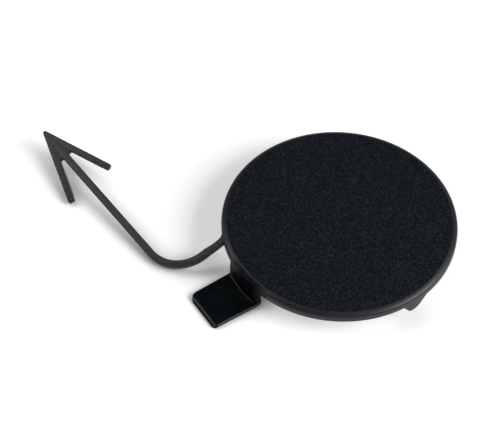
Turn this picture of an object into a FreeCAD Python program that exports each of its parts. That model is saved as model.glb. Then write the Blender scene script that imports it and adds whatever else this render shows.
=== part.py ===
"""Round tow hook cover, moulded in one piece, in millimetres.

The origin is the centre of the outer face and +Z is the face's outward normal. The locating tongue
points along -X, a side tab lies near each end of Y and the spring clip lies along +X. The thin tether leaves
the rim beside the tongue, falls towards the surface that the cover lies on and ends in an arrow.
"""
import FreeCAD, Part
import math
import os

from FreeCAD import Placement, Rotation, Vector

# Outer face and rim
face_radius = 35.0
rim_height = 3.0
rim_edge_radius = 1.5
rim_wall = 2.0
plate_thickness = 1.8

# Panel lip that is held between the rim's lower edge and the tongue or the clip's catch
lip_thickness = 6.0

# Tongue, and the curved wall that carries it below the rim and widens towards it
tongue_reach = 48.7
tongue_root_width = 13.9
tongue_end_width = 13.3
tongue_thickness = 1.5
tongue_wall = 2.0
tongue_wall_head_width = 13.1
tongue_near_corner_radius = 1.2
tongue_far_corner_radius = 2.4
tongue_nose_radius = 1.3
tongue_root_fillet = 0.4

# Side tabs, which continue the rim's outer wall downwards
tab_middle = 1.8
tab_root_width = 8.4
tab_front_angle = 56.0
tab_back_angle = 45.0
tab_drop = 3.45
tab_wall = 1.8
tab_corner_radius = 1.6

# Spring clip opposite the tongue
clip_width = 11.0
clip_wall = 1.8
catch_reach = 1.2
catch_land = 0.4

# Stiffening ribs under the face, and the gussets that brace the tongue's wall
rib_thickness = 1.4
rib_setback = 0.3
long_rib_offset = 4.2
cross_rib_offset = 12.0
gusset_reach = 7.0
gusset_setback = 1.2

# Tether: where it leaves the rim, and how its plane falls
tether_azimuth = 157.0
tether_top = 1.3
tether_thickness = 1.8
tether_width = 2.25
tether_fall_azimuth = 194.53
tether_fall_angle = 23.98
tether_lead_turn = -15.62
tether_embed = 1.2

# Tether: neck set to one side of the lead, bend and shaft
neck_length = 3.6
neck_width = 2.0
neck_offset = 0.25
neck_step = 2.6
root_flare_radius = 2.9
root_flare_embed = 0.15
lead_length = 7.62
bend_radius = 12.24
bend_angle = 85.15
shaft_length = 58.17

# Arrow on the tether's end; its barbs are thinner at their ends
barb_angle = 18.18
barb_length = 28.2
barb_width = 2.05
barb_relief_length = 2.6
barb_relief = 0.7
barb_end_radius = 0.6
notch_radius = 0.6
tip_radius = 0.65

rim_low = -rim_height
plate_low = -plate_thickness
tongue_top = rim_low - lip_thickness
foot_low = tongue_top - tongue_thickness
up = Vector(0, 0, 1)
tolerance = 1e-4


def cylinder(radius, low, high):
    return Part.makeCylinder(radius, high - low, Vector(0, 0, low))


def ring(inner, outer, low, high):
    return cylinder(outer, low, high).cut(cylinder(inner, low, high))


def prism(points, travel):
    """Solid swept by a closed polygon along a vector."""
    return Part.Face(Part.makePolygon(points + points[:1])).extrude(travel)


def upright_edges(shape, points, along=up):
    """Edges parallel to a direction that pass through one of the points."""
    found = []
    for edge in shape.Edges:
        ends = [vertex.Point for vertex in edge.Vertexes]
        if len(ends) < 2 or (ends[1] - ends[0]).cross(along).Length > tolerance:
            continue
        if any((point - ends[0]).cross(along).Length < tolerance for point in points):
            found.append(edge)
    return found


def rim():
    """Flat face with a rounded edge and a short skirt, turned about the cover's axis."""
    skirt_inner = face_radius - rim_wall
    shoulder = face_radius - rim_edge_radius
    crown = rim_edge_radius * math.sqrt(0.5)
    arc = Part.Arc(
        Vector(shoulder, 0, 0),
        Vector(shoulder + crown, 0, crown - rim_edge_radius),
        Vector(face_radius, 0, -rim_edge_radius),
    )
    face_line = Part.LineSegment(Vector(0, 0, 0), Vector(shoulder, 0, 0))
    inside = [
        Vector(face_radius, 0, -rim_edge_radius),
        Vector(face_radius, 0, rim_low),
        Vector(skirt_inner, 0, rim_low),
        Vector(skirt_inner, 0, plate_low),
        Vector(0, 0, plate_low),
        Vector(0, 0, 0),
    ]
    edges = [face_line.toShape(), arc.toShape()] + Part.makePolygon(inside).Edges
    return Part.Face(Part.Wire(edges)).revolve(Vector(0, 0, 0), up, 360)


def root_fillet():
    """Ring of the small fillet between the tongue's upper face and the wall."""
    inset = tongue_root_fillet * (1 - math.sqrt(0.5))
    corner = Vector(face_radius, 0, tongue_top)
    toe = corner + Vector(tongue_root_fillet, 0, 0)
    head = corner + up * tongue_root_fillet
    arc = Part.Arc(toe, corner + Vector(inset, 0, inset), head)
    edges = [arc.toShape()] + Part.makePolygon([head, corner, toe]).Edges
    return Part.Face(Part.Wire(edges)).revolve(Vector(0, 0, 0), up, 360)


def tongue_blade():
    """Flat tongue with a round nose; its end corner on the tether's side is the rounder one."""
    half_root = tongue_root_width / 2
    half_end = tongue_end_width / 2
    heel = -math.sqrt((face_radius - tongue_wall) ** 2 - half_root**2)
    outline = [
        Vector(heel, half_root, foot_low),
        Vector(-tongue_reach, half_end, foot_low),
        Vector(-tongue_reach, -half_end, foot_low),
        Vector(heel, -half_root, foot_low),
    ]
    blade = prism(outline, up * tongue_thickness)
    blade = blade.makeFillet(tongue_far_corner_radius, upright_edges(blade, outline[1:2]))
    blade = blade.makeFillet(tongue_near_corner_radius, upright_edges(blade, outline[2:3]))
    across = Vector(0, 1, 0)
    profile = [
        Vector(heel, -half_root, foot_low),
        Vector(-tongue_reach, -half_root, foot_low),
        Vector(-tongue_reach, -half_root, tongue_top),
        Vector(heel, -half_root, tongue_top),
    ]
    nosed = prism(profile, across * tongue_root_width)
    nosed = nosed.makeFillet(tongue_nose_radius, upright_edges(nosed, profile[2:3], across))
    return blade.common(nosed)


def tongue():
    """The tongue and the wall that carries it flush with the rim."""
    half_root = tongue_root_width / 2
    half_head = tongue_wall_head_width / 2
    wall_inner = face_radius - tongue_wall
    front = -face_radius - tongue_root_fillet
    outline = [
        Vector(front, -half_root, foot_low),
        Vector(front, -half_root, tongue_top),
        Vector(front, -half_head, rim_low),
        Vector(front, -half_head, plate_low),
        Vector(front, half_head, plate_low),
        Vector(front, half_head, rim_low),
        Vector(front, half_root, tongue_top),
        Vector(front, half_root, foot_low),
    ]
    wall = ring(wall_inner, face_radius, foot_low, plate_low).fuse(root_fillet())
    wall = wall.common(prism(outline, Vector(-front, 0, 0)))
    return wall.fuse(tongue_blade()).cut(cylinder(wall_inner, foot_low, plate_low))


def side_tab():
    """Tapered tab with rounded corners on the -Y side of the rim; its front flank is steeper."""
    tip_low = rim_low - tab_drop
    front_root = tab_middle - tab_root_width / 2
    back_root = tab_middle + tab_root_width / 2
    front_tip = front_root + tab_drop / math.tan(math.radians(tab_front_angle))
    back_tip = back_root - tab_drop / math.tan(math.radians(tab_back_angle))
    outline = [
        Vector(front_root, 0, plate_low),
        Vector(front_root, 0, rim_low),
        Vector(front_tip, 0, tip_low),
        Vector(back_tip, 0, tip_low),
        Vector(back_root, 0, rim_low),
        Vector(back_root, 0, plate_low),
    ]
    outward = Vector(0, -1, 0)
    tab = prism(outline, outward * face_radius)
    tab = tab.makeFillet(tab_corner_radius, upright_edges(tab, outline[2:4], outward))
    return tab.common(ring(face_radius - tab_wall, face_radius, tip_low, plate_low))


def spring_clip():
    """Leg opposite the tongue, with a catch that snaps behind the panel lip."""
    half_angle = math.degrees(math.asin(clip_width / 2 / face_radius))
    inner = face_radius - clip_wall
    catch = face_radius + catch_reach
    outline = [
        Vector(inner, 0, plate_low),
        Vector(inner, 0, foot_low),
        Vector(face_radius, 0, foot_low),
        Vector(catch, 0, tongue_top - catch_land),
        Vector(catch, 0, tongue_top),
        Vector(face_radius, 0, tongue_top),
        Vector(face_radius, 0, plate_low),
    ]
    section = Part.Face(Part.makePolygon(outline + outline[:1]))
    section.rotate(Vector(0, 0, 0), up, -half_angle)
    return section.revolve(Vector(0, 0, 0), up, 2 * half_angle)


def ribs():
    """Grid of ribs under the face; the two long ribs end in gussets on the tongue's wall."""
    rib_low = rim_low + rib_setback
    seat = face_radius - rim_wall / 2
    span = cylinder(seat, rib_low, plate_low)
    half = rib_thickness / 2
    parts = []
    for side in (-1, 1):
        bar = Part.makeBox(
            rib_thickness, 2 * seat, plate_low - rib_low,
            Vector(side * cross_rib_offset - half, -seat, rib_low),
        )
        parts.append(bar.common(span))
        bar = Part.makeBox(
            2 * seat, rib_thickness, plate_low - rib_low,
            Vector(-seat, side * long_rib_offset - half, rib_low),
        )
        parts.append(bar.common(span))
        wall_middle = face_radius - tongue_wall / 2
        heel = math.sqrt(wall_middle**2 - (long_rib_offset + half) ** 2)
        toe = heel - gusset_reach
        near_side = side * long_rib_offset - half
        outline = [
            Vector(-heel, near_side, plate_low),
            Vector(-heel, near_side, foot_low + gusset_setback),
            Vector(-toe, near_side, rib_low),
            Vector(-toe, near_side, plate_low),
        ]
        parts.append(prism(outline, Vector(0, rib_thickness, 0)))
    return parts


def shaft_point(tip, heading, along, across):
    """Point beside the tether's shaft, measured back from the arrow's tip and to its left."""
    back = Vector(-math.cos(heading), -math.sin(heading), 0)
    left = Vector(-math.sin(heading), math.cos(heading), 0)
    return tip + back * along + left * across


def on_barb(side, distance, inset):
    """Place on one barb, by its distance from the tip and inset from the outer edge."""
    angle = math.radians(barb_angle)
    along = distance * math.cos(angle) + inset * math.sin(angle)
    across = distance * math.sin(angle) - inset * math.cos(angle)
    return along, side * across


def barb_points(side):
    """Corners of one barb from the shaft to its end, as (along, across) pairs."""
    angle = math.radians(barb_angle)
    half_width = tether_width / 2
    root = (half_width + barb_width / math.cos(angle)) / math.tan(angle)
    return [
        (root, side * half_width),
        on_barb(side, barb_length, barb_width),
        on_barb(side, barb_length, 0),
    ]


def relief_points(side):
    """Corners of the block that is taken from under one barb's end, well past its edges."""
    start = barb_length - barb_relief_length
    end = barb_length + barb_width
    return [
        on_barb(side, start, -barb_width),
        on_barb(side, end, -barb_width),
        on_barb(side, end, 2 * barb_width),
        on_barb(side, start, 2 * barb_width),
    ]


def root_flare(far_side):
    """Arc that blends the far side of the tether's neck into the rim's wall."""
    lean = math.radians(tether_azimuth - tether_fall_azimuth - tether_lead_turn)
    outward = Vector(math.cos(lean), math.sin(lean), 0)
    centre_y = far_side - root_flare_radius
    centre_x = (root_flare_radius - root_flare_embed - outward.y * centre_y) / outward.x
    centre = Vector(centre_x, centre_y, 0)
    side = Vector(0, 1, 0)
    middle = (side - outward).normalize()
    ends = [centre + direction * root_flare_radius for direction in (side, middle, -outward)]
    return Part.Arc(*ends)


def tether():
    """Flat tether drawn in its own plane, with its root in the rim and an arrow on its end."""
    near_side = neck_offset + neck_width / 2
    far_side = neck_offset - neck_width / 2
    half_width = tether_width / 2
    heading = -math.radians(bend_angle)
    centre = Vector(lead_length, -bend_radius, 0)

    def on_bend(turn, offset):
        radius = bend_radius + offset
        return centre + Vector(radius * math.sin(turn), radius * math.cos(turn), 0)

    turns = [math.radians(bend_angle) * share for share in (0, 0.5, 1)]
    outer = [on_bend(turn, half_width) for turn in turns]
    inner = [on_bend(turn, -half_width) for turn in turns]
    tip = on_bend(turns[-1], 0) + Vector(math.cos(heading), math.sin(heading), 0) * shaft_length
    left = [shaft_point(tip, heading, *pair) for pair in barb_points(1)]
    right = [shaft_point(tip, heading, *pair) for pair in barb_points(-1)]

    neck_end = neck_length + neck_step
    near_root = Vector(-tether_embed, near_side, 0)
    near_lead = [
        near_root,
        Vector(neck_length, near_side, 0),
        Vector(neck_end, half_width, 0),
        outer[0],
    ]
    flare = root_flare(far_side)
    far_lead = [
        inner[0],
        Vector(neck_end, -half_width, 0),
        Vector(neck_length, far_side, 0),
        flare.StartPoint,
    ]
    far_root = flare.EndPoint + Vector(-tether_embed, 0, 0)
    edges = Part.makePolygon(near_lead).Edges
    edges.append(Part.Arc(*outer).toShape())
    edges += Part.makePolygon([outer[-1]] + left + [tip] + right[::-1] + [inner[-1]]).Edges
    edges.append(Part.Arc(*inner[::-1]).toShape())
    edges += Part.makePolygon(far_lead).Edges
    edges.append(flare.toShape())
    edges += Part.makePolygon([flare.EndPoint, far_root, near_root]).Edges
    strap = Part.Face(Part.Wire(edges)).extrude(up * -tether_thickness)

    notches = [left[0], right[0]]
    barb_ends = left[1:] + right[1:]
    strap = strap.makeFillet(notch_radius, upright_edges(strap, notches))
    strap = strap.makeFillet(barb_end_radius, upright_edges(strap, barb_ends))
    strap = strap.makeFillet(tip_radius, upright_edges(strap, [tip]))
    for side in (-1, 1):
        corners = [shaft_point(tip, heading, *pair) for pair in relief_points(side)]
        block = prism(corners, up * barb_relief)
        block.translate(up * -tether_thickness)
        strap = strap.cut(block)

    turn = Rotation(up, tether_fall_azimuth)
    turn = turn.multiply(Rotation(Vector(0, 1, 0), tether_fall_angle))
    turn = turn.multiply(Rotation(up, tether_lead_turn))
    azimuth = math.radians(tether_azimuth)
    root = Vector(face_radius * math.cos(azimuth), face_radius * math.sin(azimuth), -tether_top)
    strap.Placement = Placement(root, turn)
    return strap


def cover():
    """The whole moulding, fused into one solid."""
    tab = side_tab()
    opposite_tab = tab.mirror(Vector(0, 0, 0), Vector(0, 1, 0))
    solid = rim().multiFuse([tongue(), tab, opposite_tab, spring_clip()] + ribs() + [tether()])
    return solid.removeSplitter().Solids[0]


os.makedirs("parts", exist_ok=True)
cover().exportStep("parts/tow_hook_cover.step")
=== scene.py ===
"""Looks of the round tow hook cover: one black moulding with a grained face, a satin rim, a flat
tongue and a thin tether with a barbed arrow, lying face up on a plain white table."""
import math

import bmesh
import bpy
from mathutils import Euler, Matrix, Vector


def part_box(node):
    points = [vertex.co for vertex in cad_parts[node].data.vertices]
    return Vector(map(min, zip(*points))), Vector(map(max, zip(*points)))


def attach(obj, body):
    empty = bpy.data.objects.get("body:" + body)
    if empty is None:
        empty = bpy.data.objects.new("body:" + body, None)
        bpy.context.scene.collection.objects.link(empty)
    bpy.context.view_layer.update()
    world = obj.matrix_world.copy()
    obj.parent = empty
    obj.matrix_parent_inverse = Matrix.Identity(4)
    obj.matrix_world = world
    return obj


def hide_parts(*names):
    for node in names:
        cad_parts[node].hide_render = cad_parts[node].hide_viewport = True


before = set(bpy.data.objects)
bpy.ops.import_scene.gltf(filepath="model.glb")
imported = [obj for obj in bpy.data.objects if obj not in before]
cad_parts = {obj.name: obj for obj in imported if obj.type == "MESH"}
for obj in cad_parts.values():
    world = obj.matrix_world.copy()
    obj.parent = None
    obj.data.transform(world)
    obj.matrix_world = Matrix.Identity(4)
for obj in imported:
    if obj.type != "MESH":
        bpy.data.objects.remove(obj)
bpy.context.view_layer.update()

MM = 0.001
NODE = "tow_hook_cover"
cover_low, cover_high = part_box(NODE)

# Face and rim, in metres; the rim's radius and the foot's height come from the frame
face_radius = -cover_low.y
foot_low = cover_low.z
rim_low = -3.0 * MM
rim_edge_radius = 1.5 * MM
rim_crease_share = 0.6
rim_crease_end = math.radians(52)
rim_wall = 2.0 * MM
rim_lip_radius = 0.25 * MM
crease_radius = face_radius - rim_edge_radius
plate_low = -1.8 * MM

# Tongue and the curved wall that carries it, which widens towards the tongue
tongue_reach = 48.7 * MM
tongue_root_width = 13.9 * MM
tongue_end_width = 13.3 * MM
tongue_thickness = 1.5 * MM
tongue_wall = 2.0 * MM
tongue_wall_head_width = 13.1 * MM
tongue_wall_corner_radius = 1.0 * MM
tongue_near_corner_radius = 1.2 * MM
tongue_far_corner_radius = 2.4 * MM
tongue_nose_radius = 1.3 * MM
tongue_edge_radius = 0.2 * MM
tongue_root_fillet = 0.4 * MM
tongue_top = foot_low + tongue_thickness

# Painted shade on the rim over the tongue, standing in for the dark tongue that the rim mirrors there;
# it leaves a fine satin line along the face
painted_shade_middle = -3.0 * MM
painted_shade_half_width = 8.0 * MM
painted_shade_fade = 4.5 * MM
edge_line_width = 0.4 * MM

# Side tabs
tab_middle = 1.8 * MM
tab_root_width = 8.4 * MM
tab_front_angle = math.radians(56)
tab_back_angle = math.radians(45)
tab_drop = 3.45 * MM
tab_softness = 1.3 * MM

# Spring clip
clip_width = 11.0 * MM
clip_wall = 1.8 * MM
catch_reach = cover_high.x - face_radius
catch_land = 0.4 * MM

# Ribs and gussets under the face
rib_thickness = 1.4 * MM
rib_low = rim_low + 0.3 * MM
rib_edge_radius = 0.2 * MM
long_rib_offset = 4.2 * MM
cross_rib_offset = 12.0 * MM
gusset_reach = 7.0 * MM
gusset_low = foot_low + 1.2 * MM

# Tether: root, fall and path in its own plane
tether_azimuth = math.radians(157)
tether_top = -1.3 * MM
tether_thickness = 1.8 * MM
tether_width = 2.25 * MM
tether_edge_radius = 0.2 * MM
tether_fall_azimuth = math.radians(194.53)
tether_fall_angle = math.radians(23.98)
tether_lead_turn = math.radians(-15.62)
tether_embed = 1.2 * MM
neck_length = 3.6 * MM
neck_width = 2.0 * MM
neck_offset = 0.25 * MM
neck_step = 2.6 * MM
neck_blend = 2.0 * MM
root_flare_radius = 2.9 * MM
root_flare_embed = 0.15 * MM
lead_length = 7.62 * MM
bend_radius = 12.24 * MM
bend_angle = math.radians(85.15)
shaft_length = 58.17 * MM

# Arrow on the tether's end; its barbs are thinner at their ends
barb_angle = math.radians(18.18)
barb_length = 28.2 * MM
barb_width = 2.05 * MM
barb_relief_length = 2.6 * MM
barb_relief = 0.7 * MM
barb_end_radius = 0.6 * MM
notch_radius = 0.6 * MM
tip_radius = 0.65 * MM

# How deep joined forms reach into each other
join_depth = 0.5 * MM
bead_depth = 0.2 * MM
flare_margin = 0.05 * MM

# How finely round forms are divided
rim_column_step = math.radians(1)
clip_column_gap = math.radians(0.02)
tab_columns = 48
wall_plain_columns = 20
wall_corner_columns = 5
arc_step = math.radians(7)
straight_limit = 0.001
edge_segments = 3
rim_edge_segments = 14
nose_segments = 8
bead_segments = 4
wall_rows = 5
smooth_limit = math.radians(32)


def new_object(name, bm):
    """Object in the scene from a finished bmesh."""
    bmesh.ops.recalc_face_normals(bm, faces=bm.faces)
    mesh = bpy.data.meshes.new(name)
    bm.to_mesh(mesh)
    bm.free()
    made = bpy.data.objects.new(name, mesh)
    bpy.context.scene.collection.objects.link(made)
    return made


def rounded_outline(corners):
    """Closed outline through (point, radius) corners, each rounded by an arc of its radius."""
    outline = []
    count = len(corners)
    for index, (point, radius) in enumerate(corners):
        before = (corners[index - 1][0] - point).normalized()
        after = (corners[(index + 1) % count][0] - point).normalized()
        opening = before.angle(after)
        if radius == 0 or opening > math.pi - straight_limit:
            outline.append(point.copy())
            continue
        centre = point + (before + after).normalized() * (radius / math.sin(opening / 2))
        reach = radius / math.tan(opening / 2)
        start = point + before * reach - centre
        sweep = math.pi - opening
        sign = 1 if start.cross(point + after * reach - centre) > 0 else -1
        pieces = max(2, math.ceil(sweep / arc_step))
        for step in range(pieces + 1):
            turn = Matrix.Rotation(sign * sweep * step / pieces, 2)
            outline.append(centre + turn @ start)
    return outline


def rounded_plate(name, outline, low, high, edge_radius):
    """Flat plate of an outline, with its upper and lower edges rounded."""
    bm = bmesh.new()
    base = bm.faces.new([bm.verts.new((point.x, point.y, low)) for point in outline])
    raised = bmesh.ops.extrude_face_region(bm, geom=[base])["geom"]
    lifted = [item for item in raised if isinstance(item, bmesh.types.BMVert)]
    bmesh.ops.translate(bm, verts=lifted, vec=(0, 0, high - low))
    level = [edge for edge in bm.edges if edge.verts[0].co.z == edge.verts[1].co.z]
    bmesh.ops.bevel(
        bm, geom=level, offset=edge_radius, segments=edge_segments, profile=0.5, affect="EDGES",
    )
    return new_object(name, bm)


def side_prism(name, profile, half_width):
    """Prism of an (x, z) profile that spans both sides of the XZ plane."""
    bm = bmesh.new()
    near = [bm.verts.new((point.x, -half_width, point.y)) for point in profile]
    far = [bm.verts.new((point.x, half_width, point.y)) for point in profile]
    bm.faces.new(near)
    bm.faces.new(far)
    for index, vert in enumerate(near):
        after = (index + 1) % len(near)
        bm.faces.new((vert, near[after], far[after], far[index]))
    return new_object(name, bm)


def combined(name, base, others, operation):
    """One closed mesh from a base and the forms that are joined to it or taken from it."""
    for other in others:
        step = base.modifiers.new(other.name, "BOOLEAN")
        step.operation = operation
        step.solver = "EXACT"
        step.object = other
    graph = bpy.context.evaluated_depsgraph_get()
    mesh = bpy.data.meshes.new_from_object(base.evaluated_get(graph))
    mesh.name = name
    for used in [base, *others]:
        bpy.data.objects.remove(used)
    made = bpy.data.objects.new(name, mesh)
    bpy.context.scene.collection.objects.link(made)
    return made


def smooth_max(first, second, softness):
    """The larger of two heights, with their meeting rounded off."""
    overlap = max(softness - abs(first - second), 0) / softness
    return max(first, second) + overlap * overlap * softness / 4


def tab_low(along):
    """Lower edge of a side tab at a place along X; its front flank is the steeper one."""
    front = along - (tab_middle - tab_root_width / 2)
    back = tab_middle + tab_root_width / 2 - along
    flank = rim_low - min(front * math.tan(tab_front_angle), back * math.tan(tab_back_angle))
    return min(smooth_max(flank, rim_low - tab_drop, tab_softness), rim_low)


def wall_half_angle(width):
    """Half the angle that a width takes up on the rim."""
    return math.asin(width / 2 / face_radius)


def rim_columns():
    """Azimuths of the rim's columns, close together over the tabs and at the clip's sides."""
    count = round(2 * math.pi / rim_column_step)
    columns = [rim_column_step * index for index in range(count)]
    clip_side = wall_half_angle(clip_width)
    for side in (clip_side, 2 * math.pi - clip_side):
        columns += [side - clip_column_gap, side + clip_column_gap]
    for step in range(tab_columns + 1):
        along = tab_middle + tab_root_width * (step / tab_columns - 0.5)
        turn = math.acos(along / face_radius)
        columns += [turn, 2 * math.pi - turn]
    return sorted(columns)


def rim_lower_edge(azimuth):
    """Height of the rim's lower edge: the clip's leg and the tabs hang lower."""
    if min(azimuth, 2 * math.pi - azimuth) < wall_half_angle(clip_width):
        return foot_low
    along = face_radius * math.cos(azimuth)
    if abs(along - tab_middle) < tab_root_width / 2:
        return tab_low(along)
    return rim_low


def rim_section(low):
    """Half section of the rim from the face's crease round to the underside, as (radius, height)."""
    section = []
    crease_slope = math.tan(rim_crease_end / 2)
    for step in range(rim_edge_segments + 1):
        turn = math.pi / 2 * step / rim_edge_segments
        outward = rim_edge_radius * math.sin(turn)
        fall = rim_edge_radius * (1 - math.cos(turn))
        fall += rim_crease_share * max(outward * crease_slope - fall, 0)
        section.append((crease_radius + outward, -fall))
    wall_top = -rim_edge_radius
    wall_low = low + rim_lip_radius
    for row in range(1, wall_rows + 1):
        section.append((face_radius, wall_top + (wall_low - wall_top) * row / wall_rows))
    inner = face_radius - rim_wall
    corner = rim_lip_radius * (1 - math.sqrt(0.5))
    section += [
        (face_radius - corner, low + corner),
        (face_radius - rim_lip_radius, low),
        (inner + rim_lip_radius, low),
        (inner + corner, low + corner),
        (inner, wall_low),
        (inner, plate_low),
    ]
    return section


def cover_shell():
    """Face, rim, clip leg and tabs as one turned skin."""
    bm = bmesh.new()
    face_centre = bm.verts.new((0, 0, 0))
    under_centre = bm.verts.new((0, 0, plate_low))
    columns = []
    for azimuth in rim_columns():
        columns.append([
            bm.verts.new((radius * math.cos(azimuth), radius * math.sin(azimuth), height))
            for radius, height in rim_section(rim_lower_edge(azimuth))
        ])
    for here, there in zip(columns, columns[1:] + columns[:1]):
        bm.faces.new((face_centre, here[0], there[0]))
        bm.faces.new((under_centre, there[-1], here[-1]))
        for row in range(len(here) - 1):
            bm.faces.new((here[row], here[row + 1], there[row + 1], there[row]))
    return new_object("cover_shell", bm)


def turned_block(name, section, middle, half_angle):
    """Closed block turned about the cover's axis from a (radius, height) section."""
    bm = bmesh.new()
    steps = max(2, math.ceil(2 * half_angle / rim_column_step))
    rings = []
    for step in range(steps + 1):
        azimuth = middle + half_angle * (2 * step / steps - 1)
        rings.append([
            bm.verts.new((radius * math.cos(azimuth), radius * math.sin(azimuth), height))
            for radius, height in section
        ])
    for here, there in zip(rings, rings[1:]):
        for row, point in enumerate(here):
            after = (row + 1) % len(here)
            bm.faces.new((point, here[after], there[after], there[row]))
    bm.faces.new(rings[0])
    bm.faces.new(rings[-1])
    return new_object(name, bm)


def wall_columns(width):
    """Outer (radius, azimuth) columns of the tongue's wall, whose end away from the tether is round."""
    half_angle = wall_half_angle(width)
    corner = tongue_wall_corner_radius
    straight = 2 * half_angle - corner / face_radius
    columns = [
        (face_radius, math.pi - half_angle + straight * step / wall_plain_columns)
        for step in range(wall_plain_columns)
    ]
    for step in range(wall_corner_columns + 1):
        turn = math.pi / 2 * step / wall_corner_columns
        inset = corner * (1 - math.sin(turn))
        columns.append((
            face_radius - corner * (1 - math.cos(turn)),
            math.pi + half_angle - inset / face_radius,
        ))
    return columns


def tongue_wall_block():
    """Curved wall below the rim that carries the tongue; its sides lean outwards downwards."""
    bm = bmesh.new()
    inner = face_radius - tongue_wall
    levels = [
        (plate_low + join_depth, tongue_wall_head_width),
        (rim_low, tongue_wall_head_width),
        (tongue_top, tongue_root_width),
        (foot_low + tongue_edge_radius, tongue_root_width),
    ]
    rows = []
    for height, width in levels:
        outer = wall_columns(width)
        loop = outer + [(inner, turn) for _, turn in outer[::-1]]
        rows.append([
            bm.verts.new((radius * math.cos(turn), radius * math.sin(turn), height))
            for radius, turn in loop
        ])
    columns = len(outer) - 1
    for above, below in zip(rows, rows[1:]):
        for index, vert in enumerate(above):
            after = (index + 1) % len(above)
            bm.faces.new((vert, above[after], below[after], below[index]))
    for index in range(columns):
        other = 2 * columns + 1 - index
        for row in (rows[0], rows[-1]):
            bm.faces.new((row[index], row[index + 1], row[other - 1], row[other]))
    return new_object("tongue_wall", bm)


def tongue_blade():
    """Flat tongue with a round nose; its end corner on the tether's side is the rounder one."""
    heel = -(face_radius - tongue_wall / 2)
    half_root = tongue_root_width / 2
    half_end = tongue_end_width / 2
    corners = [
        (Vector((heel, half_root)), 0),
        (Vector((-tongue_reach, half_end)), tongue_far_corner_radius),
        (Vector((-tongue_reach, -half_end)), tongue_near_corner_radius),
        (Vector((heel, -half_root)), 0),
    ]
    plan = rounded_plate(
        "tongue_blade", rounded_outline(corners), foot_low, tongue_top, tongue_edge_radius,
    )
    low, high = foot_low - MM, tongue_top + MM
    nose_middle = Vector((-tongue_reach + tongue_nose_radius, tongue_top - tongue_nose_radius))
    profile = [Vector((0, low)), Vector((-tongue_reach, low))]
    for step in range(nose_segments + 1):
        turn = math.pi / 2 * step / nose_segments
        away = Vector((-math.cos(turn), math.sin(turn)))
        profile.append(nose_middle + away * tongue_nose_radius)
    profile += [Vector((nose_middle.x, high)), Vector((0, high))]
    envelope = side_prism("nose_envelope", profile, tongue_root_width)
    return combined("tongue_blade", plan, [envelope], "INTERSECT")


def tongue_root_bead():
    """Small fillet in the corner between the tongue and its wall."""
    section = [
        (face_radius - bead_depth, tongue_top - bead_depth),
        (face_radius + tongue_root_fillet, tongue_top - bead_depth),
    ]
    for step in range(bead_segments + 1):
        turn = math.pi / 2 * step / bead_segments
        section.append((
            face_radius + tongue_root_fillet * (1 - math.sin(turn)),
            tongue_top + tongue_root_fillet * (1 - math.cos(turn)),
        ))
    section.append((face_radius - bead_depth, tongue_top + tongue_root_fillet))
    half_angle = wall_half_angle(tongue_root_width - 2 * tongue_edge_radius)
    shorter = tongue_wall_corner_radius / face_radius / 2
    return turned_block("tongue_root_bead", section, math.pi - shorter, half_angle - shorter)


def clip_catch():
    """Catch on the clip's leg, with a sloping lead-in below a flat land."""
    sunk = clip_wall / 2
    land_low = tongue_top - catch_land
    section = [
        (face_radius - sunk, tongue_top),
        (face_radius + catch_reach, tongue_top),
        (face_radius + catch_reach, land_low),
        (face_radius, foot_low + rim_lip_radius),
        (face_radius - sunk, foot_low + rim_lip_radius),
    ]
    return turned_block("clip_catch", section, 0, wall_half_angle(clip_width))


def bar_outline(low_x, high_x, low_y, high_y):
    """Four corners of a straight bar seen from above."""
    return [
        Vector((low_x, low_y)),
        Vector((high_x, low_y)),
        Vector((high_x, high_y)),
        Vector((low_x, high_y)),
    ]


def underside_ribs():
    """Two long ribs and two cross ribs under the face, ending inside the skirt."""
    half = rib_thickness / 2
    seat = face_radius - rim_wall / 2
    sunk = plate_low + join_depth
    made = []
    for side, word in ((-1, "low"), (1, "high")):
        middle = side * cross_rib_offset
        reach = math.sqrt(seat**2 - (cross_rib_offset + half) ** 2)
        outline = bar_outline(middle - half, middle + half, -reach, reach)
        made.append(rounded_plate(f"cross_rib_{word}", outline, rib_low, sunk, rib_edge_radius))
        middle = side * long_rib_offset
        reach = math.sqrt(seat**2 - (long_rib_offset + half) ** 2)
        outline = bar_outline(-reach, reach, middle - half, middle + half)
        made.append(rounded_plate(f"long_rib_{word}", outline, rib_low, sunk, rib_edge_radius))
    return made


def tongue_gussets():
    """Sloping webs that brace the tongue's wall on the line of the long ribs."""
    half = rib_thickness / 2
    heel = math.sqrt((face_radius - rim_wall / 2) ** 2 - (long_rib_offset + half) ** 2)
    toe = heel - gusset_reach
    profile = [
        Vector((-heel, gusset_low)),
        Vector((-toe, rib_low + rib_edge_radius)),
        Vector((-toe, plate_low + join_depth)),
        Vector((-heel, plate_low + join_depth)),
    ]
    made = []
    upright = Matrix.Rotation(math.pi / 2, 4, "X")
    for side, word in ((-1, "low"), (1, "high")):
        gusset = rounded_plate(f"gusset_{word}", profile, -half, half, rib_edge_radius)
        gusset.data.transform(Matrix.Translation((0, side * long_rib_offset, 0)) @ upright)
        made.append(gusset)
    return made


def on_barb(side, distance, inset):
    """Place on one barb as (back from the tip, across), by distance from the tip and edge inset."""
    back = distance * math.cos(barb_angle) + inset * math.sin(barb_angle)
    across = distance * math.sin(barb_angle) - inset * math.cos(barb_angle)
    return Vector((back, side * across))


def barb_corners(side):
    """One barb's corners from the shaft to the tip, each with its radius."""
    half_width = tether_width / 2
    root = (half_width + barb_width / math.cos(barb_angle)) / math.tan(barb_angle)
    return [
        (Vector((root, side * half_width)), notch_radius),
        (on_barb(side, barb_length, barb_width), barb_end_radius),
        (on_barb(side, barb_length, 0), barb_end_radius),
    ]


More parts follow.
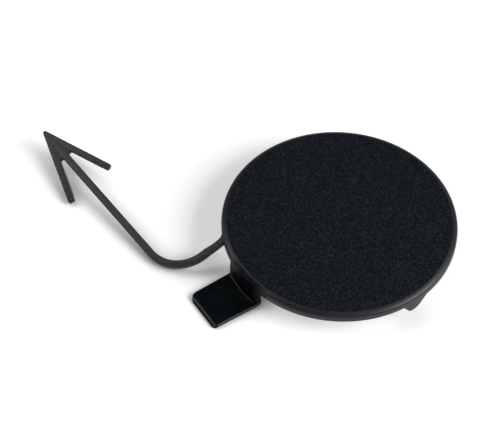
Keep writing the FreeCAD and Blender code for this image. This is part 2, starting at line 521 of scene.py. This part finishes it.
def relief_corners(side):
    """Plan of the block that is taken from under one barb's end, well past its edges."""
    start = barb_length - barb_relief_length
    end = barb_length + barb_width
    places = [(start, -barb_width), (end, -barb_width), (end, 2 * barb_width), (start, 2 * barb_width)]
    return [on_barb(side, distance, inset) for distance, inset in places]


bend_tangent = bend_radius * math.tan(bend_angle / 2)
bend_corner = Vector((lead_length + bend_tangent, 0))
shaft_forward = Vector((math.cos(bend_angle), -math.sin(bend_angle)))
shaft_left = Vector((math.sin(bend_angle), math.cos(bend_angle)))
arrow_tip = bend_corner + shaft_forward * (bend_tangent + shaft_length)


def beside_shaft(place):
    """Point in the tether's plane from a place measured back from the arrow's tip and across."""
    return arrow_tip - shaft_forward * place.x + shaft_left * place.y


def tether_corners():
    """Outline of the tether in its own plane: along its lead, round the bend and out to the arrow."""
    near_side = neck_offset + neck_width / 2
    far_side = neck_offset - neck_width / 2
    half_width = tether_width / 2
    bend_offset = Vector((half_width * math.tan(bend_angle / 2), half_width))
    left = [(beside_shaft(place), radius) for place, radius in barb_corners(1)]
    right = [(beside_shaft(place), radius) for place, radius in barb_corners(-1)]

    lean = tether_azimuth - tether_fall_azimuth - tether_lead_turn
    outward = Vector((math.cos(lean), math.sin(lean)))
    along_rim = Vector((outward.y, -outward.x))
    flare = Vector(((-root_flare_embed - outward.y * far_side) / outward.x, far_side))
    flare_reach = root_flare_radius / math.tan(math.acos(along_rim.x) / 2)
    flare_end = flare + along_rim * (flare_reach + flare_margin)
    neck_end = neck_length + neck_step
    return [
        (Vector((-tether_embed, near_side)), 0),
        (Vector((neck_length, near_side)), neck_blend),
        (Vector((neck_end, half_width)), neck_blend),
        (bend_corner + bend_offset, bend_radius + half_width),
        *left,
        (arrow_tip, tip_radius),
        *right[::-1],
        (bend_corner - bend_offset, bend_radius - half_width),
        (Vector((neck_end, -half_width)), neck_blend),
        (Vector((neck_length, far_side)), neck_blend),
        (flare, root_flare_radius),
        (flare_end, 0),
        (flare_end - outward * tether_embed, 0),
    ]


def tether():
    """Flat tether with rounded edges, laid in its falling plane with its root in the rim."""
    outline = rounded_outline(tether_corners())
    strap = rounded_plate("tether", outline, -tether_thickness, 0, tether_edge_radius)
    blocks = []
    for side, word in ((-1, "right"), (1, "left")):
        plan = [beside_shaft(place) for place in relief_corners(side)]
        relief_top = barb_relief - tether_thickness
        blocks.append(rounded_plate(
            f"barb_relief_{word}", plan, -2 * tether_thickness, relief_top, tether_edge_radius,
        ))
    strap = combined("tether", strap, blocks, "DIFFERENCE")
    root = Vector((
        face_radius * math.cos(tether_azimuth),
        face_radius * math.sin(tether_azimuth),
        tether_top,
    ))
    turn = (
        Matrix.Rotation(tether_fall_azimuth, 4, "Z")
        @ Matrix.Rotation(tether_fall_angle, 4, "Y")
        @ Matrix.Rotation(tether_lead_turn, 4, "Z")
    )
    strap.data.transform(Matrix.Translation(root) @ turn)
    return strap


def new_group(name, inputs, outputs):
    """Empty shader node group with named sockets; returns the group and its two end nodes."""
    group = bpy.data.node_groups.new(name, "ShaderNodeTree")
    for label, value in inputs.items():
        socket = group.interface.new_socket(label, in_out="INPUT", socket_type="NodeSocketFloat")
        socket.default_value = value
    for label in outputs:
        group.interface.new_socket(label, in_out="OUTPUT", socket_type="NodeSocketFloat")
    entry = group.nodes.new("NodeGroupInput")
    leave = group.nodes.new("NodeGroupOutput")
    return group, entry, leave


def place_in_sizes(nodes, links, size):
    """Place on the cover, counted in steps of a given size."""
    place = nodes.new("ShaderNodeTexCoord")
    count = nodes.new("ShaderNodeMath")
    count.operation = "DIVIDE"
    count.inputs[0].default_value = 1
    links.new(size, count.inputs[1])
    scaled = nodes.new("ShaderNodeVectorMath")
    scaled.operation = "SCALE"
    links.new(place.outputs["Object"], scaled.inputs[0])
    links.new(count.outputs[0], scaled.inputs["Scale"])
    return scaled.outputs[0]


def spark_grain_group():
    """Spark-eroded mould grain: rounded pits and peaks of one size over the whole surface."""
    group, entry, leave = new_group(
        "Spark grain", {"Grain size": 0.4 * MM, "Pitting": 0.5}, ("Height", "Tone"),
    )
    nodes, links = group.nodes, group.links
    place = place_in_sizes(nodes, links, entry.outputs["Grain size"])
    cloud = nodes.new("ShaderNodeTexNoise")
    cloud.inputs["Scale"].default_value = 1
    cloud.inputs["Detail"].default_value = 3
    cloud.inputs["Roughness"].default_value = 0.6
    links.new(place, cloud.inputs["Vector"])
    pits = nodes.new("ShaderNodeTexVoronoi")
    pits.feature = "SMOOTH_F1"
    pits.inputs["Scale"].default_value = 0.9
    links.new(place, pits.inputs["Vector"])
    relief = nodes.new("ShaderNodeMix")
    links.new(entry.outputs["Pitting"], relief.inputs["Factor"])
    links.new(cloud.outputs["Fac"], relief.inputs["A"])
    links.new(pits.outputs["Distance"], relief.inputs["B"])
    links.new(relief.outputs["Result"], leave.inputs["Height"])
    tone = nodes.new("ShaderNodeMapRange")
    tone.inputs["From Min"].default_value = 0.4
    tone.inputs["From Max"].default_value = 0.64
    links.new(relief.outputs["Result"], tone.inputs["Value"])
    links.new(tone.outputs["Result"], leave.inputs["Tone"])
    return group


def handling_group():
    """Broad, faint patches where the surface is slightly smoother from handling and flow."""
    group, entry, leave = new_group("Handling", {"Patch size": 12 * MM}, ("Patch",))
    nodes, links = group.nodes, group.links
    place = place_in_sizes(nodes, links, entry.outputs["Patch size"])
    cloud = nodes.new("ShaderNodeTexNoise")
    cloud.inputs["Scale"].default_value = 1
    cloud.inputs["Detail"].default_value = 2
    links.new(place, cloud.inputs["Vector"])
    links.new(cloud.outputs["Fac"], leave.inputs["Patch"])
    return group


def moulded_plastic(name, groups, dark, light, grain_size, pitting, relief, roughness, gloss):
    """Black moulded plastic whose colour and relief follow the mould's grain and whose roughness
    follows broad patches.
    """
    grain_group, patch_group = groups
    material = bpy.data.materials.new(name)
    material.use_nodes = True
    nodes, links = material.node_tree.nodes, material.node_tree.links
    shader = nodes["Principled BSDF"]
    shader.inputs["Specular IOR Level"].default_value = gloss
    grain = nodes.new("ShaderNodeGroup")
    grain.node_tree = grain_group
    grain.inputs["Grain size"].default_value = grain_size
    grain.inputs["Pitting"].default_value = pitting
    patch = nodes.new("ShaderNodeGroup")
    patch.node_tree = patch_group
    colour = nodes.new("ShaderNodeMix")
    colour.data_type = "RGBA"
    colour.inputs["A"].default_value = (*dark, 1)
    colour.inputs["B"].default_value = (*light, 1)
    links.new(grain.outputs["Tone"], colour.inputs["Factor"])
    links.new(colour.outputs["Result"], shader.inputs["Base Color"])
    smoothness = nodes.new("ShaderNodeMapRange")
    smoothness.inputs["To Min"].default_value = roughness[0]
    smoothness.inputs["To Max"].default_value = roughness[1]
    links.new(patch.outputs["Patch"], smoothness.inputs["Value"])
    links.new(smoothness.outputs["Result"], shader.inputs["Roughness"])
    bump = nodes.new("ShaderNodeBump")
    bump.inputs["Distance"].default_value = relief
    links.new(grain.outputs["Height"], bump.inputs["Height"])
    links.new(bump.outputs["Normal"], shader.inputs["Normal"])
    return material


def span_mask(nodes, links, value, start, end):
    """Mask that rises from 0 to 1 while a value goes from one end of a span to the other."""
    mask = nodes.new("ShaderNodeMapRange")
    mask.inputs["From Min"].default_value = start
    mask.inputs["From Max"].default_value = end
    links.new(value, mask.inputs["Value"])
    return mask.outputs["Result"]


def fade_painted_shade(material, painted_sheen_tone):
    """Lets the painted shade on the rim over the tongue fade at both ends into a lighter tone, a
    painted sheen brighter than the satin rim's own colour.
    """
    nodes, links = material.node_tree.nodes, material.node_tree.links
    shader = nodes["Principled BSDF"]
    grained = shader.inputs["Base Color"].links[0].from_socket
    place = nodes.new("ShaderNodeTexCoord")
    axes = nodes.new("ShaderNodeSeparateXYZ")
    links.new(place.outputs["Object"], axes.inputs[0])
    aside = nodes.new("ShaderNodeMath")
    aside.operation = "SUBTRACT"
    aside.inputs[1].default_value = painted_shade_middle
    links.new(axes.outputs["Y"], aside.inputs[0])
    away = nodes.new("ShaderNodeMath")
    away.operation = "ABSOLUTE"
    links.new(aside.outputs[0], away.inputs[0])
    fade_start = painted_shade_half_width - painted_shade_fade
    near_ends = span_mask(nodes, links, away.outputs[0], fade_start, painted_shade_half_width)
    on_rim = span_mask(nodes, links, axes.outputs["Z"], rim_low - rim_lip_radius, rim_low)
    both = nodes.new("ShaderNodeMath")
    both.operation = "MULTIPLY"
    links.new(near_ends, both.inputs[0])
    links.new(on_rim, both.inputs[1])
    colour = nodes.new("ShaderNodeMix")
    colour.data_type = "RGBA"
    colour.inputs["B"].default_value = (*painted_sheen_tone, 1)
    links.new(both.outputs[0], colour.inputs["Factor"])
    links.new(grained, colour.inputs["A"])
    links.new(colour.outputs["Result"], shader.inputs["Base Color"])


def finishes():
    """The cover's four finishes, in the order of their places on the mesh; the tongue's is painted
    shade.
    """
    groups = spark_grain_group(), handling_group()
    face = moulded_plastic(
        "grained_face", groups,
        dark=(0.0001, 0.0009, 0.0026), light=(0.0147, 0.0184, 0.0246),
        grain_size=0.46 * MM, pitting=0.4, relief=0.35 * MM, roughness=(0.62, 0.7), gloss=0.1,
    )
    satin = moulded_plastic(
        "satin_rim", groups,
        dark=(0.0108, 0.0112, 0.0148), light=(0.0146, 0.015, 0.019),
        grain_size=0.25 * MM, pitting=0.3, relief=0.008 * MM, roughness=(0.38, 0.46), gloss=0.26,
    )
    strap = moulded_plastic(
        "tether_plastic", groups,
        dark=(0.005, 0.0052, 0.0056), light=(0.027, 0.0272, 0.0282),
        grain_size=0.5 * MM, pitting=0.4, relief=0.08 * MM, roughness=(0.45, 0.56), gloss=0.38,
    )
    # Painted shade: a darker copy of the same plastic for the tongue, its wall and the rim over it, for
    # the cover's shadow on the tongue and the dark tongue mirrored in the rim
    foot = moulded_plastic(
        "tongue_painted_shade", groups,
        dark=(0.0001, 0.0002, 0.0003), light=(0.0024, 0.0066, 0.0092),
        grain_size=0.5 * MM, pitting=0.4, relief=0.25 * MM, roughness=(0.42, 0.5), gloss=0.06,
    )
    # Painted sheen: at its ends on the rim the painted shade fades into a tone lighter than the satin
    # rim's own colour
    fade_painted_shade(foot, painted_sheen_tone=(0.034, 0.035, 0.038))
    return face, satin, strap, foot


# Where the finishes lie: their order on the mesh, and limits on a face's place and its upward normal
FACE, SATIN, STRAP, TONGUE_SHADE = range(4)
finish_margin = 0.1 * MM
strap_start = face_radius + 0.6 * MM
flat_normal = 0.999
tongue_top_normal = 0.95
nose_normal = 0.75
upright_normal = 0.2


def has_painted_shade(centre, normal, radius):
    """True where shade is painted: on the tongue's top and nose, on its wall's outer faces and on the
    rim over that wall.
    """
    if centre.x >= 0:
        return False
    if abs(centre.y) <= tongue_root_width / 2 + finish_margin:
        on_top = radius > face_radius and normal.z > tongue_top_normal
        on_nose = centre.x < tongue_nose_radius - tongue_reach and normal.z < nose_normal
        upright = tongue_top < centre.z < rim_low and abs(normal.z) < upright_normal
        on_wall = upright and radius > face_radius - tongue_wall + finish_margin
        if on_top or on_nose or on_wall:
            return True
    by_middle = abs(centre.y - painted_shade_middle) < painted_shade_half_width
    on_rim = radius > crease_radius + edge_line_width and centre.z > rim_low
    return by_middle and on_rim and normal.z > -upright_normal


def dress(cover):
    """Gives the face, the tether, the tongue and the rest of the moulding their finishes; on the tongue
    and the rim over it the finish is painted shade.
    """
    for material in finishes():
        cover.data.materials.append(material)
    tether_side = tongue_root_width / 2 + finish_margin
    for polygon in cover.data.polygons:
        centre, normal = polygon.center, polygon.normal
        radius = math.hypot(centre.x, centre.y)
        if centre.z > -finish_margin and normal.z > flat_normal:
            polygon.material_index = FACE
        elif has_painted_shade(centre, normal, radius):
            polygon.material_index = TONGUE_SHADE
        elif centre.x < 0 and centre.y > tether_side and radius > strap_start:
            polygon.material_index = STRAP
        else:
            polygon.material_index = SATIN


def crisp_crease(cover):
    """Keeps the line between the flat face and the rim's rounding crisp."""
    mesh = cover.data
    near = 0.01 * MM
    on_crease = [
        abs(math.hypot(vert.co.x, vert.co.y) - crease_radius) < near and abs(vert.co.z) < near
        for vert in mesh.vertices
    ]
    for edge in mesh.edges:
        if all(on_crease[index] for index in edge.vertices):
            edge.use_edge_sharp = True


def moulding():
    """The whole cover as one mesh in place of the solid."""
    additions = [tongue_wall_block(), tongue_blade(), tongue_root_bead(), clip_catch()]
    additions += underside_ribs() + tongue_gussets() + [tether()]
    cover = combined("cover_moulding", cover_shell(), additions, "UNION")
    for polygon in cover.data.polygons:
        polygon.use_smooth = True
    cover.data.set_sharp_from_angle(angle=smooth_limit)
    crisp_crease(cover)
    dress(cover)
    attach(cover, "root")
    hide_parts(NODE)
    return cover


# Camera: the photograph's frame, with the focal length in pixels of its width
film_width = 36
photo_width = 500
focal_pixels = 1410
camera_pitch = math.radians(51.6)
camera_azimuth = math.radians(33.747)
camera_place = Vector((-165.63, -200.27, 327.22)) * MM


def camera():
    """Camera that sees the cover as the photograph does."""
    data = bpy.data.cameras.new("camera")
    data.sensor_width = film_width
    data.lens = focal_pixels / photo_width * film_width
    data.clip_start = 0.01
    made = bpy.data.objects.new("camera", data)
    made.location = camera_place
    made.rotation_euler = Euler((math.pi / 2 - camera_pitch, 0, -camera_azimuth))
    bpy.context.scene.collection.objects.link(made)
    bpy.context.scene.camera = made


def seen_directly(nodes, links):
    """Factor that is 1 for what the camera, a reflection or a clear body looks at."""
    path = nodes.new("ShaderNodeLightPath")
    factor = path.outputs["Is Camera Ray"]
    for label in ("Is Glossy Ray", "Is Transmission Ray"):
        either = nodes.new("ShaderNodeMath")
        either.operation = "MAXIMUM"
        links.new(factor, either.inputs[0])
        links.new(path.outputs[label], either.inputs[1])
        factor = either.outputs[0]
    return factor


# Table: its half size in metres, its colour, how its shade is lifted, and how the lift fades near the
# cover as painted shade
floor_half = 1.5
floor_colour = (0.65, 0.65, 0.65)
floor_roughness = 0.9
floor_lift = 0.43
floor_painted_shade_reach = 7 * MM
floor_painted_shade_depth = 3


def table_top():
    """Plain white table; what looks at it directly sees its shade lifted to white, and the lift fades
    where the cover is near, a painted shade.
    """
    bm = bmesh.new()
    corners = bar_outline(-floor_half, floor_half, -floor_half, floor_half)
    bm.faces.new([bm.verts.new((corner.x, corner.y, foot_low)) for corner in corners])
    floor = new_object("table_top", bm)
    material = bpy.data.materials.new("table_white")
    material.use_nodes = True
    nodes, links = material.node_tree.nodes, material.node_tree.links
    shader = nodes["Principled BSDF"]
    shader.inputs["Base Color"].default_value = (*floor_colour, 1)
    shader.inputs["Roughness"].default_value = floor_roughness
    shader.inputs["Specular IOR Level"].default_value = 0
    shader.inputs["Emission Color"].default_value = (1, 1, 1, 1)
    # Painted shade: ambient occlusion takes the white lift away in the corners and under the cover
    openness = nodes.new("ShaderNodeAmbientOcclusion")
    openness.inputs["Distance"].default_value = floor_painted_shade_reach
    deeper = nodes.new("ShaderNodeMath")
    deeper.operation = "POWER"
    deeper.inputs[1].default_value = floor_painted_shade_depth
    links.new(openness.outputs["AO"], deeper.inputs[0])
    lift = nodes.new("ShaderNodeMath")
    lift.operation = "MULTIPLY"
    lift.inputs[1].default_value = floor_lift
    links.new(deeper.outputs[0], lift.inputs[0])
    shown = nodes.new("ShaderNodeMath")
    shown.operation = "MULTIPLY"
    links.new(lift.outputs[0], shown.inputs[0])
    links.new(seen_directly(nodes, links), shown.inputs[1])
    links.new(shown.outputs[0], shader.inputs["Emission Strength"])
    floor.data.materials.append(material)


# Light: the world's level, and how far the softboxes stand from the cover in metres
world_level = 0.06
light_distance = 1.5


def surroundings():
    """White all round for what looks at it directly, and a plain level of light otherwise."""
    world = bpy.data.worlds.new("studio")
    bpy.context.scene.world = world
    world.use_nodes = True
    nodes, links = world.node_tree.nodes, world.node_tree.links
    background = nodes["Background"]
    background.inputs["Color"].default_value = (1, 1, 1, 1)
    level = nodes.new("ShaderNodeMapRange")
    level.inputs["To Min"].default_value = world_level
    level.inputs["To Max"].default_value = 1
    path = nodes.new("ShaderNodeLightPath")
    links.new(path.outputs["Is Camera Ray"], level.inputs["Value"])
    links.new(level.outputs["Result"], background.inputs["Strength"])


def softbox(name, azimuth, elevation, size, level):
    """Square area light aimed at the cover, by the level it gives a white sheet on the table.

    The azimuth is measured in the camera's own plan, from its right towards the far side.
    """
    turn = math.radians(azimuth) - camera_azimuth
    lift = math.radians(elevation)
    data = bpy.data.lights.new(name, "AREA")
    data.shape = "SQUARE"
    data.size = size
    data.energy = level * (math.pi * light_distance) ** 2 / math.sin(lift)
    made = bpy.data.objects.new(name, data)
    made.location = Vector((
        math.cos(turn) * math.cos(lift), math.sin(turn) * math.cos(lift), math.sin(lift),
    )) * light_distance
    made.rotation_euler = (-made.location).to_track_quat("-Z", "Y").to_euler()
    bpy.context.scene.collection.objects.link(made)


moulding()
camera()
table_top()
surroundings()
softbox("key", azimuth=-22, elevation=30, size=1.0, level=0.9)
softbox("fill", azimuth=168, elevation=34, size=0.7, level=0.2)
softbox("edge_light", azimuth=140, elevation=60, size=0.35, level=0.1)
bpy.context.scene.view_settings.view_transform = "Standard"
